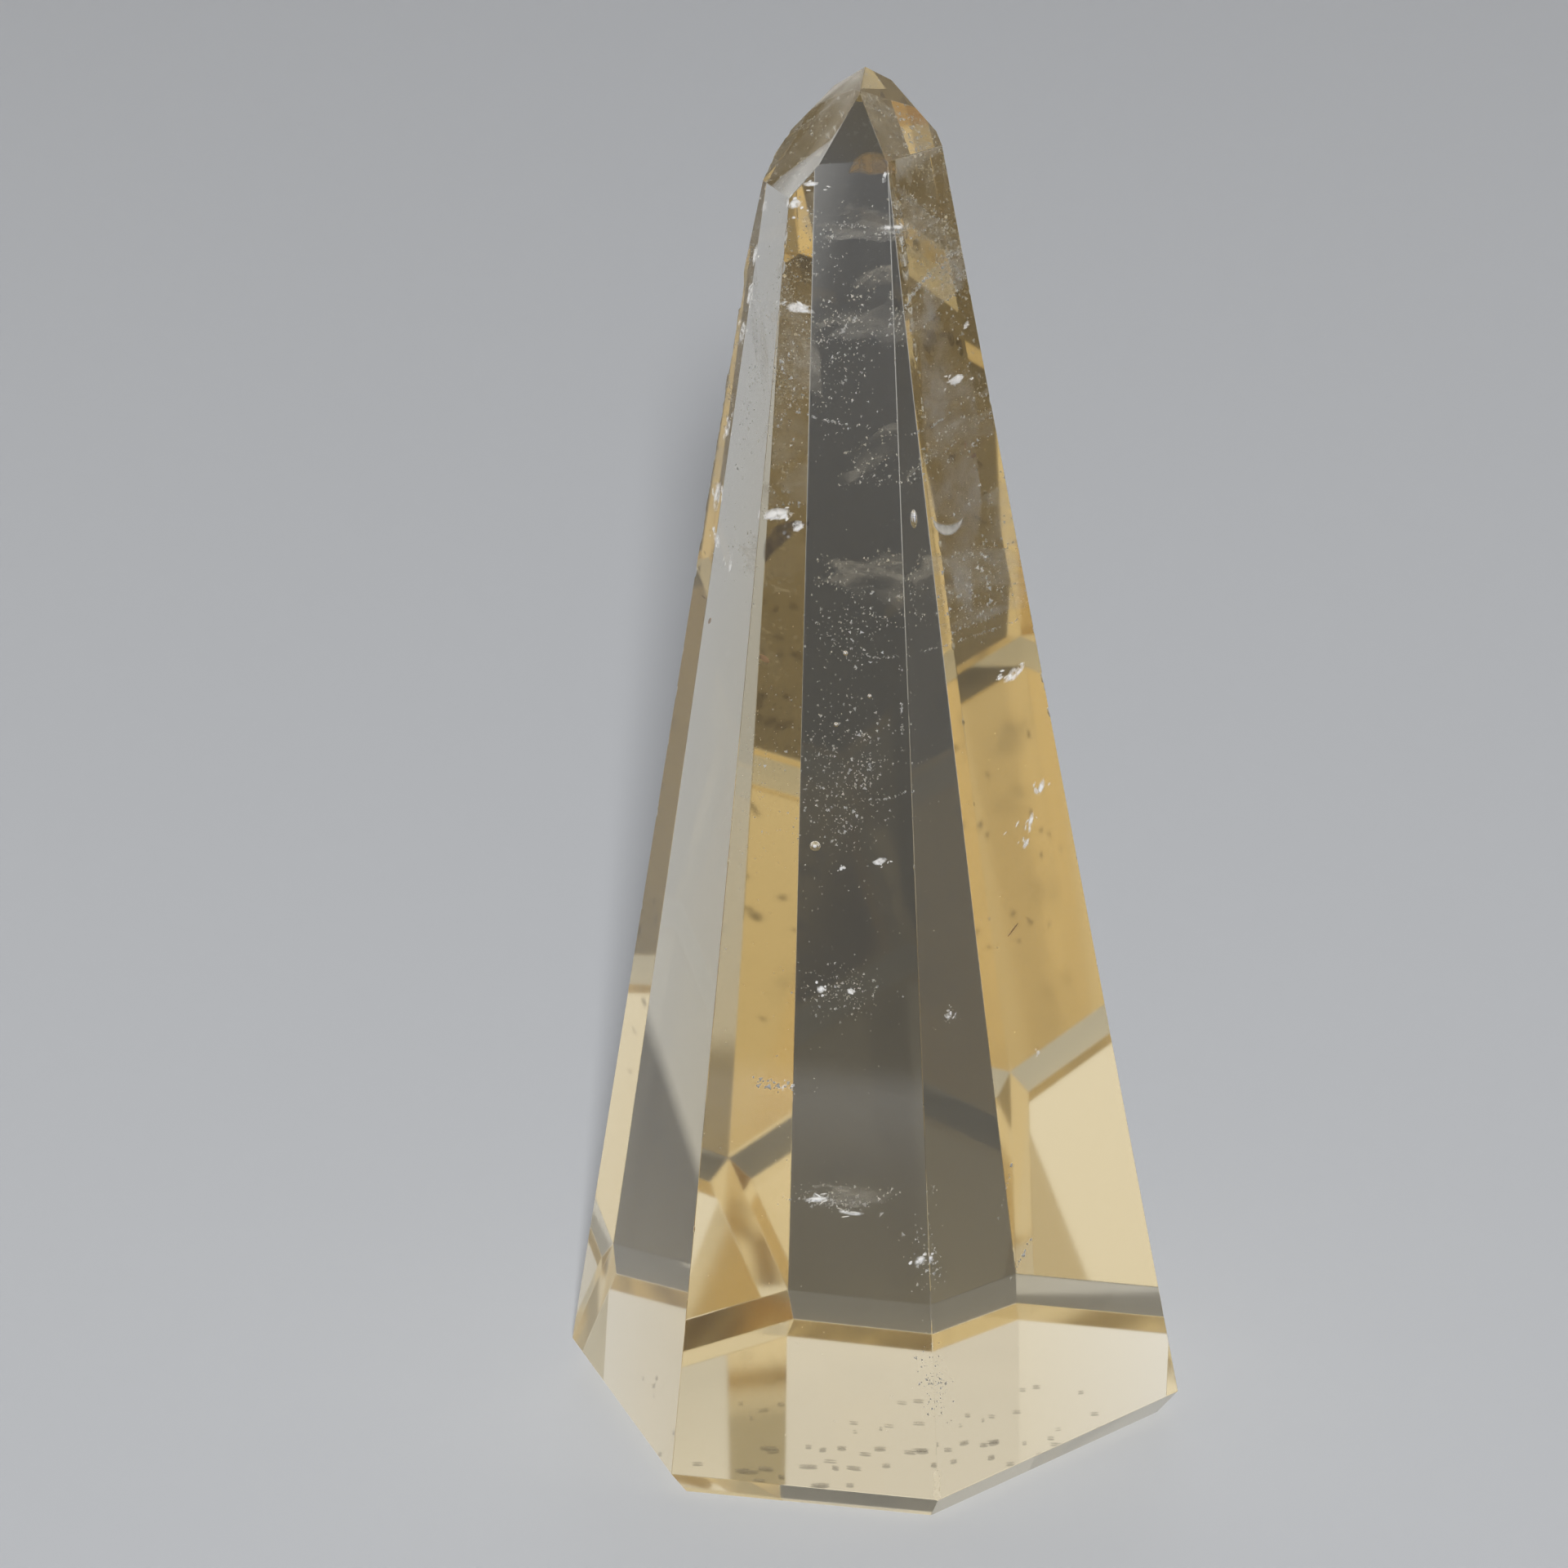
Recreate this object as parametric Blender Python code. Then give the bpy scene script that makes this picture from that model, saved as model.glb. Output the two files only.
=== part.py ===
"""Citrine crystal point: a clear quartz crystal polished as a six-sided tapering tower.

One solid, standing on its flat cut base. Metres, +Z up, its front towards -Y, its origin at
the middle of the base. Every face is a flat cut, so the stone starts as a block larger than
itself and is ground down plane by plane, the way a lapidary cuts it.
"""

from math import atan2, cos, degrees, radians, sin

import bmesh
import bpy
from mathutils import Matrix, Vector

MM = 0.001

HEIGHT = 70.0 * MM  # from the base to the apex
BEVEL_HEIGHT = 1.3 * MM  # the small ground bevel all round the foot
BEVEL_INSET = 0.95 * MM

# The six sides: the compass direction a side faces (degrees, 0 is +X and -90 is the front), how
# far its foot lies from the middle of the base, and how far it leans back to the tip (degrees).
SIDES = {
    "front_left": (-162.5, 14.0 * MM, 7.9),
    "front": (-103.3, 15.65 * MM, 10.3),
    "front_right": (-43.1, 13.75 * MM, 9.3),
    "back_right": (15.4, 14.6 * MM, 10.1),
    "back": (73.6, 15.6 * MM, 10.4),
    "back_left": (132.0, 13.7 * MM, 7.6),
}

# The six faces of the tip, one over each side: direction, lean (degrees), and how far above the
# apex's level the face's plane crosses the upright line through the middle of the base.
TIP_FACES = {
    "over_front_left": (-163.0, 39.6, 0.4 * MM),
    "over_front": (-108.0, 41.1, 0.35 * MM),
    "over_front_right": (-45.0, 47.4, -1.0 * MM),
    "over_back_right": (15.2, 37.9, 0.4 * MM),
    "over_back": (74.0, 38.0, 0.77 * MM),
    "over_back_left": (132.0, 36.7, 2.9 * MM),
}

# A narrow facet, worn flat along the top of the left edge, just under the tip: as a tip face.
SHOULDER = (163.5, 13.5, 18.0 * MM)

# The rough block that the faces are cut from
BLOCK_WIDTH = 60.0 * MM
BLOCK_HEIGHT = 90.0 * MM
CUT_TOLERANCE = 0.001 * MM

# Pale smoky-yellow clear quartz
CITRINE_COLOUR = (0.93, 0.82, 0.58, 1.0)
CITRINE_ROUGHNESS = 0.02
QUARTZ_IOR = 1.544


def clear_scene():
    for obj in list(bpy.data.objects):
        bpy.data.objects.remove(obj, do_unlink=True)


def outward(direction, lean=0.0):
    """The unit vector that points this way round the stone, tilted up by the lean."""
    turn, tilt = radians(direction), radians(lean)
    return Vector((cos(turn) * cos(tilt), sin(turn) * cos(tilt), sin(tilt)))


def upright(height):
    return Vector((0.0, 0.0, height))


def rough_block():
    """A block that stands on the level of the base."""
    stone = bmesh.new()
    size = Matrix.Diagonal((BLOCK_WIDTH, BLOCK_WIDTH, BLOCK_HEIGHT, 1.0))
    lift = Matrix.Translation(upright(BLOCK_HEIGHT / 2))
    bmesh.ops.create_cube(stone, size=1.0, matrix=lift @ size)
    return stone


def grind(stone, point, normal):
    """Takes away all that lies outside the plane and closes the flat face that this leaves."""
    whole = stone.verts[:] + stone.edges[:] + stone.faces[:]
    halves = bmesh.ops.bisect_plane(
        stone, geom=whole, dist=CUT_TOLERANCE, plane_co=point, plane_no=normal, clear_outer=True
    )
    rim = [item for item in halves["geom_cut"] if isinstance(item, bmesh.types.BMEdge)]
    bmesh.ops.contextual_create(stone, geom=rim)


def grind_sides(stone):
    for direction, foot, lean in SIDES.values():
        grind(stone, outward(direction) * foot, outward(direction, lean))


def grind_tip(stone):
    for direction, lean, rise in (*TIP_FACES.values(), SHOULDER):
        grind(stone, upright(HEIGHT + rise), outward(direction, lean))


def grind_base_bevel(stone):
    """Each bevel face starts on its side at the bevel's height and runs in to the underside."""
    undercut = -degrees(atan2(BEVEL_INSET, BEVEL_HEIGHT))
    for direction, foot, lean in SIDES.values():
        side = outward(direction, lean)
        reach = foot - BEVEL_HEIGHT * side.z / side.xy.length
        grind(stone, outward(direction) * reach + upright(BEVEL_HEIGHT), outward(direction, undercut))


def centre_on_origin(stone):
    """Brings the middle of the stone's own box, seen from above, over the origin."""
    for axis in range(2):
        places = [vert.co[axis] for vert in stone.verts]
        shift = Vector((0.0, 0.0, 0.0))
        shift[axis] = -(min(places) + max(places)) / 2
        bmesh.ops.translate(stone, vec=shift, verts=stone.verts)


def citrine():
    material = bpy.data.materials.new("citrine")
    material.use_nodes = True
    sockets = material.node_tree.nodes["Principled BSDF"].inputs
    sockets["Base Color"].default_value = CITRINE_COLOUR
    sockets["Metallic"].default_value = 0.0
    sockets["Roughness"].default_value = CITRINE_ROUGHNESS
    sockets["IOR"].default_value = QUARTZ_IOR
    sockets["Transmission Weight"].default_value = 1.0
    return material


def crystal_point():
    stone = rough_block()
    grind_sides(stone)
    grind_tip(stone)
    grind_base_bevel(stone)
    centre_on_origin(stone)
    bmesh.ops.recalc_face_normals(stone, faces=stone.faces)
    mesh = bpy.data.meshes.new("crystal_point")
    stone.to_mesh(mesh)
    stone.free()
    mesh.materials.append(citrine())
    crystal = bpy.data.objects.new("crystal_point", mesh)
    bpy.context.scene.collection.objects.link(crystal)


clear_scene()
crystal_point()
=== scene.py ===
"""Citrine crystal point: the looks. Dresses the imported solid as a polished, slightly worn clear
stone, puts its veils, specks and small fractures inside it, and sets the stage.

Places inside the stone are in millimetres: X to the right, Y away from the front, Z up from the base.
"""

import random
from collections import namedtuple
from math import atan2, cos, degrees, radians, sin, tau

import bmesh
import bpy
from bpy.props import FloatProperty, FloatVectorProperty, PointerProperty
from mathutils import Euler, Matrix, Vector, noise


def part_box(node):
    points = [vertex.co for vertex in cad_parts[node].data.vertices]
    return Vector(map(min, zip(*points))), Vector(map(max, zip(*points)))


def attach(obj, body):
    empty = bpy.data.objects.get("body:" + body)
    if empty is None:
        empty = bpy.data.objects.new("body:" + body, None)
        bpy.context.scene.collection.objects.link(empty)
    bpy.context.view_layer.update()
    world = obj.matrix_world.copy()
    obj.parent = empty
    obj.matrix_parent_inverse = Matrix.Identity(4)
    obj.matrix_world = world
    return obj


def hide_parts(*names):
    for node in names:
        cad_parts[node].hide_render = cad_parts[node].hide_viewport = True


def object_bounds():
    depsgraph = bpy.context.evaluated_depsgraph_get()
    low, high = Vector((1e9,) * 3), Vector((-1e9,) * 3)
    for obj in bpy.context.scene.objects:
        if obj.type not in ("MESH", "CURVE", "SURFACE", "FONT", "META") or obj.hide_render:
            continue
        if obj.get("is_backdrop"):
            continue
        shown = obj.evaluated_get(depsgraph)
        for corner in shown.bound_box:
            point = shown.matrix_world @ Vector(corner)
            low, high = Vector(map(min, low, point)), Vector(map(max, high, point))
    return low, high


bl_info = {
    "name": "Citrine Crystal Point",
    "version": (1, 0, 0),
    "blender": (4, 5, 0),
    "location": "View3D > Sidebar > Citrine",
    "description": "Builds a polished citrine tower with its inclusions, and a studio stage",
    "category": "Object",
}

MM = 0.001
STONE_NODE = "crystal_point"
STONE_BODY = "root"

# Under the base there is a film of air. Without it the base and the floor would be one surface.
AIR_GAP = 0.03 * MM

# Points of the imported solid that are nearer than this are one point, and triangles that meet at less
# than this angle are one facet.
MERGE = 0.001 * MM
FLAT = radians(1.0)

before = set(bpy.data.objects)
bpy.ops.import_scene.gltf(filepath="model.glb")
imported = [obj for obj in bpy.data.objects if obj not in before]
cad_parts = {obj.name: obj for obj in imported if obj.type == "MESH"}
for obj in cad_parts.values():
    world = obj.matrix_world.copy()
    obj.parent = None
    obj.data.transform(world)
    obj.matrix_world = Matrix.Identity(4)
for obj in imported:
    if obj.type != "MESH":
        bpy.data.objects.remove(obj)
CAD_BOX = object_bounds()
STONE_LOW, STONE_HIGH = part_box(STONE_NODE)
STONE_HEIGHT = STONE_HIGH.z - STONE_LOW.z

# The four long edges that the front shows, by their bearing round the stone in degrees from +X, and
# the three facets between them.
LEFT_EDGE, INNER_EDGE, MIDDLE_EDGE, RIGHT_EDGE = 165, -132, -80, -12
FACET_EDGES = {
    "left": (LEFT_EDGE, INNER_EDGE),
    "front": (INNER_EDGE, MIDDLE_EDGE),
    "right": (MIDDLE_EDGE, RIGHT_EDGE),
}

# A spot in the stone is told by the facet that it lies behind, its height, how far it is across the
# facet (0 at its left edge, 1 at its right), and how deep it is. Heights and depths are in mm.
Spot = namedtuple("Spot", "facet height across depth")

# Worn stretches of an edge: its bearing, where the stretch starts and ends as shares of the height,
# how many nicks it has, and how big they are in mm.
Wear = namedtuple("Wear", "bearing low high nicks size")
WEAR = (
    Wear(LEFT_EDGE, 0.79, 0.84, 20, 0.75),
    Wear(LEFT_EDGE, 0.70, 0.79, 20, 0.50),
    Wear(LEFT_EDGE, 0.45, 0.70, 14, 0.35),
    Wear(LEFT_EDGE, 0.02, 0.45, 6, 0.28),
    Wear(163, 0.85, 0.95, 12, 0.34),
    Wear(INNER_EDGE, 0.87, 0.92, 6, 0.28),
    Wear(INNER_EDGE, 0.03, 0.87, 8, 0.15),
    Wear(MIDDLE_EDGE, 0.03, 0.90, 10, 0.13),
    Wear(MIDDLE_EDGE, 0.02, 0.05, 6, 0.50),
    Wear(RIGHT_EDGE, 0.53, 0.57, 4, 0.60),
    Wear(RIGHT_EDGE, 0.40, 0.95, 9, 0.24),
    Wear(RIGHT_EDGE, 0.03, 0.40, 4, 0.22),
    Wear(49, 0.03, 0.45, 4, 0.14),
    Wear(101, 0.03, 0.45, 4, 0.14),
)
CAP_START = 0.895  # the share of the height over which the edges are worn matt

# Clouds of fine specks: where, how far they spread sideways, in depth and in height, how many, and
# the smallest and largest. All in mm.
Cloud = namedtuple("Cloud", "spot spread count smallest largest")
CLOUDS = (
    Cloud(Spot("front", 36.5, 0.60, 1.5), (1.35, 0.7, 2.4), 620, 0.05, 0.20),
    Cloud(Spot("front", 43.5, 0.65, 1.5), (1.15, 0.8, 1.1), 220, 0.05, 0.18),
    Cloud(Spot("front", 26.0, 0.60, 1.5), (1.10, 0.6, 0.7), 240, 0.05, 0.18),
    Cloud(Spot("front", 56.5, 0.50, 1.5), (0.80, 0.6, 1.8), 220, 0.05, 0.18),
    Cloud(Spot("front", 62.0, 0.40, 1.2), (0.60, 0.4, 0.8), 40, 0.07, 0.22),
    Cloud(Spot("front", 55.5, 0.10, 1.0), (0.50, 0.4, 2.4), 120, 0.06, 0.22),
    Cloud(Spot("left", 54.5, 0.45, 1.0), (0.80, 0.5, 3.0), 170, 0.06, 0.24),
    Cloud(Spot("left", 46.5, 0.40, 1.0), (0.80, 0.5, 1.6), 40, 0.07, 0.22),
    Cloud(Spot("front", 36.5, 0.15, 1.0), (0.70, 0.6, 2.8), 130, 0.04, 0.10),
    Cloud(Spot("right", 44.5, 0.70, 2.0), (1.30, 0.8, 1.0), 180, 0.05, 0.26),
    Cloud(Spot("right", 62.5, 0.30, 1.0), (0.60, 0.4, 1.0), 50, 0.05, 0.16),
    Cloud(Spot("front", 13.0, 0.95, 1.0), (0.50, 0.4, 0.9), 50, 0.08, 0.28),
    Cloud(Spot("right", 7.0, 0.05, 1.0), (0.40, 0.3, 1.0), 60, 0.06, 0.18),
    Cloud(Spot("front", 21.0, 0.30, 1.0), (0.65, 0.2, 0.15), 34, 0.08, 0.28),
    Cloud(Spot("right", 24.5, 0.20, 1.0), (0.30, 0.2, 0.20), 24, 0.08, 0.26),
    Cloud(Spot("front", 15.5, 0.55, 1.5), (1.20, 0.4, 0.20), 80, 0.07, 0.26),
    Cloud(Spot("front", 34.0, 0.50, 5.0), (3.50, 3.0, 15.0), 320, 0.04, 0.09),
)

# Rows of specks along a line that sags in its middle.
Thread = namedtuple("Thread", "start end sag count size")
THREADS = (
    Thread(Spot("front", 54.0, 0.20, 1.0), Spot("front", 53.5, 0.75, 1.0), 0.1, 70, 0.11),
    Thread(Spot("front", 63.0, 0.25, 1.0), Spot("front", 63.0, 0.90, 1.0), -0.1, 36, 0.10),
    Thread(Spot("right", 63.0, 0.05, 1.0), Spot("right", 62.5, 0.40, 1.0), 0.0, 26, 0.13),
    Thread(Spot("front", 61.5, 0.05, 1.0), Spot("front", 62.5, 0.45, 1.0), 0.3, 30, 0.09),
    Thread(Spot("front", 44.5, 0.35, 1.0), Spot("front", 42.5, 0.60, 1.0), 0.1, 42, 0.10),
    Thread(Spot("front", 38.5, 0.75, 1.0), Spot("front", 35.5, 0.75, 1.0), 0.0, 70, 0.09),
    Thread(Spot("front", 35.5, 0.80, 1.0), Spot("front", 36.0, 0.95, 1.0), 0.1, 30, 0.11),
    Thread(Spot("front", 34.0, 0.50, 1.0), Spot("front", 34.0, 0.65, 1.0), 0.3, 26, 0.09),
    Thread(Spot("front", 42.0, 0.95, 0.6), Spot("front", 38.0, 0.95, 0.6), 0.1, 70, 0.10),
    Thread(Spot("front", 57.5, 0.45, 1.0), Spot("front", 60.0, 0.80, 1.0), 0.2, 40, 0.13),
    Thread(Spot("right", 58.0, 0.10, 1.0), Spot("right", 60.5, 0.80, 1.0), -0.6, 130, 0.12),
    Thread(Spot("right", 53.0, 0.15, 1.0), Spot("right", 54.0, 0.85, 1.0), 0.3, 80, 0.10),
    Thread(Spot("right", 42.5, 0.05, 1.2), Spot("right", 42.5, 0.95, 1.2), 0.1, 260, 0.07),
    Thread(Spot("front", 42.5, 0.70, 1.2), Spot("front", 42.5, 0.95, 1.2), 0.1, 60, 0.06),
    Thread(Spot("right", 13.5, 0.35, 1.0), Spot("right", 16.0, 0.45, 1.0), 0.2, 36, 0.14),
    Thread(Spot("right", 10.5, 0.40, 1.0), Spot("right", 12.0, 0.50, 1.0), 0.1, 24, 0.14),
)

# Healed fractures: a rippled sheet with a ragged outline, filmed over and full of specks. centre is
# in mm from the middle of the base, facing is the normal, and reach is half of the width and depth.
Veil = namedtuple("Veil", "name centre facing reach ripple specks")
VEILS = (
    Veil("high", (0.5, -0.5, 62.5), (-0.10, -0.10, 1.0), (4.0, 3.5), 0.25, 110),
    Veil("shoulder", (1.5, -0.5, 58.5), (-0.40, -0.20, 1.0), (5.0, 4.5), 0.55, 480),
    Veil("upper", (3.5, 0.5, 51.5), (-0.45, -0.15, 1.0), (4.5, 5.5), 0.60, 420),
    Veil("middle", (3.5, 0.5, 43.5), (0.03, -0.06, 1.0), (5.5, 7.5), 0.35, 620),
    Veil("hanging", (3.5, -3.0, 52.0), (0.72, -0.67, 0.16), (2.4, 9.0), 0.20, 150),
    Veil("left", (-4.5, 1.0, 57.0), (0.55, -0.60, 0.50), (2.5, 5.0), 0.40, 260),
    Veil("low", (-1.0, -9.5, 15.0), (0.04, -0.10, 1.0), (2.5, 1.5), 0.20, 120),
)

# Small open fractures that shine: where, width and height in mm, and tilt (degrees).
Glint = namedtuple("Glint", "spot width height tilt")
GLINTS = (
    Glint(Spot("right", 40.0, 0.85, 1.0), 1.55, 0.55, 25),
    Glint(Spot("right", 34.0, 0.90, 1.0), 0.95, 0.35, 60),
    Glint(Spot("right", 32.5, 0.80, 1.0), 1.25, 0.32, 75),
    Glint(Spot("right", 31.5, 0.75, 1.0), 0.60, 0.28, 50),
    Glint(Spot("front", 49.0, 0.10, 1.0), 1.50, 0.58, 5),
    Glint(Spot("front", 48.5, 0.25, 1.0), 0.65, 0.52, 20),
    Glint(Spot("left", 48.0, 0.10, 0.8), 1.60, 0.90, 80),
    Glint(Spot("left", 46.0, 0.20, 0.8), 1.20, 0.65, -35),
    Glint(Spot("left", 45.5, 0.50, 0.8), 1.00, 0.35, 80),
    Glint(Spot("left", 56.5, 0.10, 0.8), 1.20, 0.65, 70),
    Glint(Spot("left", 58.5, 0.15, 0.8), 1.20, 0.60, 60),
    Glint(Spot("front", 64.0, 0.05, 0.6), 0.65, 0.48, 15),
    Glint(Spot("front", 65.0, 0.20, 0.3), 0.80, 0.25, 5),
    Glint(Spot("front", 65.5, 0.95, 0.3), 0.60, 0.20, 80),
    Glint(Spot("front", 59.0, 0.15, 1.0), 1.50, 0.50, -10),
    Glint(Spot("right", 57.5, 0.95, 0.8), 0.50, 0.28, 45),
    Glint(Spot("right", 55.0, 0.75, 1.0), 1.10, 0.45, 15),
    Glint(Spot("right", 63.0, 0.20, 0.9), 0.95, 0.22, -5),
    Glint(Spot("front", 26.0, 0.50, 1.0), 0.45, 0.40, 60),
    Glint(Spot("front", 26.0, 0.65, 1.0), 0.45, 0.32, -30),
    Glint(Spot("front", 32.5, 0.80, 1.0), 0.75, 0.35, 20),
    Glint(Spot("front", 32.0, 0.60, 1.0), 0.35, 0.28, 10),
    Glint(Spot("front", 21.0, 0.35, 1.0), 0.50, 0.32, 40),
    Glint(Spot("front", 13.0, 0.95, 1.0), 0.60, 0.45, 35),
    Glint(Spot("front", 15.5, 0.50, 1.5), 1.30, 0.30, 5),
    Glint(Spot("front", 15.0, 0.65, 1.5), 1.50, 0.22, -4),
    Glint(Spot("right", 24.5, 0.20, 1.0), 0.55, 0.30, 35),
    Glint(Spot("right", 21.0, 0.65, 1.0), 0.28, 0.26, 0),
    Glint(Spot("left", 63.0, 0.20, 0.6), 0.80, 0.45, 60),
    Glint(Spot("left", 60.5, 0.15, 0.6), 1.10, 0.50, 75),
    Glint(Spot("left", 51.5, 0.10, 0.8), 1.00, 0.60, 60),
)

# Bubbles: where, width and height in mm.
Bubble = namedtuple("Bubble", "spot width height")
BUBBLES = (
    Bubble(Spot("right", 49.0, 0.15, 0.5), 0.45, 0.95),
    Bubble(Spot("front", 33.0, 0.45, 1.0), 0.55, 0.50),
    Bubble(Spot("front", 39.0, 0.55, 1.0), 0.24, 0.24),
    Bubble(Spot("front", 40.5, 0.75, 1.0), 0.22, 0.22),
    Bubble(Spot("front", 42.5, 0.60, 1.0), 0.26, 0.26),
    Bubble(Spot("right", 46.0, 0.80, 1.5), 0.24, 0.24),
)

# Curved fractures seen as a pale sickle, a dark sickle whose near-black brown is painted shade, and an
# amber sickle: the film on it, the middle of the curve, its radius and width in mm, how far it goes round,
# and where it starts (degrees).
Sickle = namedtuple("Sickle", "name film spot radius width sweep turn")
SICKLES = (
    Sickle("pale_sickle", "pale_fracture", Spot("right", 49.0, 0.50, 1.0), 1.10, 0.60, 130, 200),
    # The dark sickle is a sheet of painted shade: its near-black brown stands in for shadow.
    Sickle("painted_shadow_sickle", "painted_shadow_film", Spot("front", 46.5, 0.35, 1.0), 2.20, 1.00, 85, 92),
    Sickle("amber_sickle", "amber_stain", Spot("front", 64.5, 0.80, 0.6), 1.60, 1.10, 90, 45),
)

# Rusty flecks and one fine scratch: where, width and height in mm, and tilt (degrees).
Fleck = namedtuple("Fleck", "spot width height tilt")
FLECKS = (
    Fleck(Spot("left", 42.0, 0.30, 0.6), 0.45, 0.25, 40),
    Fleck(Spot("front", 42.0, 0.10, 0.6), 0.60, 0.30, -35),
    Fleck(Spot("right", 27.5, 0.60, 1.0), 1.00, 0.10, 40),
)

# Grains of dirt and clay in the ground base: the two corners of the field that they lie in, how many,
# and how big they are beside the others. Places are in mm.
GrainField = namedtuple("GrainField", "near far count share")
GRAIN_FIELDS = (
    GrainField((-9.0, -13.5), (11.0, -4.5), 44, 1.0),
    GrainField((-6.0, -4.5), (10.0, 3.0), 14, 0.6),
)

# From a spot behind each facet, the way through the stone that comes out to the front.
VIEW_WAY = {"left": (-0.55, -0.80, 0.25), "front": (-0.10, -0.95, 0.25), "right": (0.30, -0.90, 0.25)}

# How far under the surface what lies in the stone stays, in mm.
SKIN = 0.18
SPECK_SKIN = 0.06
GRAIN_SKIN = 0.04

# How thick thin things are, in mm.
FILM_THICKNESS = 0.012
FLAKE_THICKNESS = 0.03
SICKLE_THICKNESS = 0.04

# Spans from which the sizes of things are drawn, as shares of the size that their list gives. Ragged
# spans are how far in and out the points of an uneven flake go.
SPECK_WIDTHS = (0.6, 1.4)
SPECK_DEPTHS = (0.4, 0.9)
SLIVER_SHARES = (0.15, 0.45)
NICK_SHARES = (0.5, 1.5)
NICK_DEPTHS = (0.12, 0.32)
NICK_LENGTHS = (1.2, 3.0)
RAGGED_NICK = (0.84, 1.08)
RAGGED_FLAKE = (0.70, 1.25)

# The length, width and thickness of a grain, and how high over the base it lies, in mm.
GRAIN_LENGTHS = (0.30, 1.20)
GRAIN_WIDTHS = (0.20, 0.60)
GRAIN_THICKNESSES = (0.02, 0.04)
GRAIN_HEIGHT = 0.06
GRAIN_TURN = 0.3  # how far they are turned from lying side to side, in radians

SLIVERS = 6  # round each glint
SLIVER_TURN = 25.0  # how much they are turned against it, in degrees
NICK_LEAN = 0.15  # how much nicks lean away from their edge

# Specks along a thread: how closely they crowd round its middle, how far they stray from it in mm, the
# noise that breaks it into runs, and the smallest share of their size and what the largest has more.
THREAD_CROWDING = 0.28
THREAD_STRAY = 0.04
THREAD_NOISE = 3000.0
THREAD_RUNS = 9.0
THREAD_SHARES = (0.45, 1.1)

# A veil's sheet is 2 wide before it is scaled. Where the noise of the first one starts, the noise of
# its ripples and of its ragged outline, and how far out it goes.
VEIL_CELLS = 36  # along each side
VEIL_NOISE = (7.3, 2.1, 5.9)
BROAD_RIPPLES = 1.6
FINE_RIPPLES = 5.0
FINE_RIPPLE_SHARE = 0.35
RAGGED_BAYS = 2.6
RAGGED_SHARE = 0.45
VEIL_REACH = 0.92

# Specks on a veil: the share of them on its rim, how far they stray from the rim and from the rest in
# mm, the noise of their drifts, and the size of the smallest and what the largest has more, in mm.
RIM_SHARE = 0.22
RIM_STRAY = 0.05
VEIL_STRAY = 0.12
VEIL_DRIFTS = 900.0
VEIL_SPECKS = (0.04, 0.14)
DRIFT_GAP = -0.12  # the noise under which threads and drifts have a gap

SICKLE_STEPS = 24  # along a sickle
SICKLE_TIP = 0.06  # how wide a sickle is at its tips, as a share of its middle

STEEP = 0.6  # an edge is steep if it rises by more than this share of its length
FACET_STEP = 5.0  # how far apart two points of an edge are taken to find a facet's slope, in mm

# Each group of small things draws its places from its own seed.
RANDOM_SEEDS = {"nicks": 11, "specks": 23, "veils": 37, "fractures": 41, "grains": 53}

# What lies in the stone, by material: its two tones, how many patches of them a metre holds, and how
# it shines.
SPECK_FINISH = {
    "dark": (0.92, 0.91, 0.88), "pale": (1.0, 1.0, 0.99), "patches": 900.0, "roughness": 0.3,
    "metallic": 0.2,
}
INCLUSION_FINISHES = {
    "fine_specks": SPECK_FINISH,
    "veil_specks": SPECK_FINISH,
    "bright_fracture": {
        "dark": (0.94, 0.93, 0.91), "pale": (1.0, 1.0, 0.99), "patches": 1200.0, "roughness": 0.2,
        "metallic": 1.0, "feathered": True,
    },
    "rusty_fleck": {
        "dark": (0.34, 0.17, 0.06), "pale": (0.74, 0.44, 0.20), "patches": 1500.0, "roughness": 0.5,
        "Alpha": 0.55,
    },
    "bubble_wall": {
        "dark": (0.80, 0.80, 0.82), "pale": (0.95, 0.95, 0.96), "patches": 600.0, "roughness": 0.04,
        "metallic": 1.0,
    },
    "dark_grain": {
        "dark": (0.34, 0.30, 0.26), "pale": (0.54, 0.48, 0.41), "patches": 900.0, "roughness": 0.8,
        "Alpha": 0.22,
    },
}

# Films of healed fractures, by material: the colour, how well it covers, and the noise between which
# its gaps close.
OPEN_GAPS = (0.42, 0.66)
CLOSED_GAPS = (0.15, 0.45)
FILM_FINISHES = {
    "healed_film": {"colour": (0.93, 0.90, 0.85), "alpha": 0.34, "gaps": OPEN_GAPS},
    "pale_fracture": {
        "colour": (1.0, 0.97, 0.90), "alpha": 1.0, "gaps": CLOSED_GAPS, "metallic": 0.8,
    },
    # The dark sickle's near-black brown is painted shade, not a colour of the stone.
    "painted_shadow_film": {"colour": (0.10, 0.06, 0.03), "alpha": 1.0, "gaps": CLOSED_GAPS},
    "amber_stain": {"colour": (0.62, 0.40, 0.15), "alpha": 0.9, "gaps": CLOSED_GAPS},
}

# Noise on the clear stone, its feathered flakes and its films, in patches per metre, and the noise
# between which each goes from nothing to full.
WEAR_PATCHES, WEAR_SPAN = 900.0, (0.40, 0.65)
FEATHER_PATCHES, FEATHER_SPAN = 2600.0, (0.34, 0.52)
FILM_BROAD_PATCHES = 260.0
FILM_FINE_PATCHES, FILM_FINE_SPAN = 1500.0, (0.35, 0.70)
FILM_TONE_PATCHES, FILM_TONE_SPAN = 700.0, (0.3, 0.7)
TONE_SPAN = (0.35, 0.65)

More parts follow.
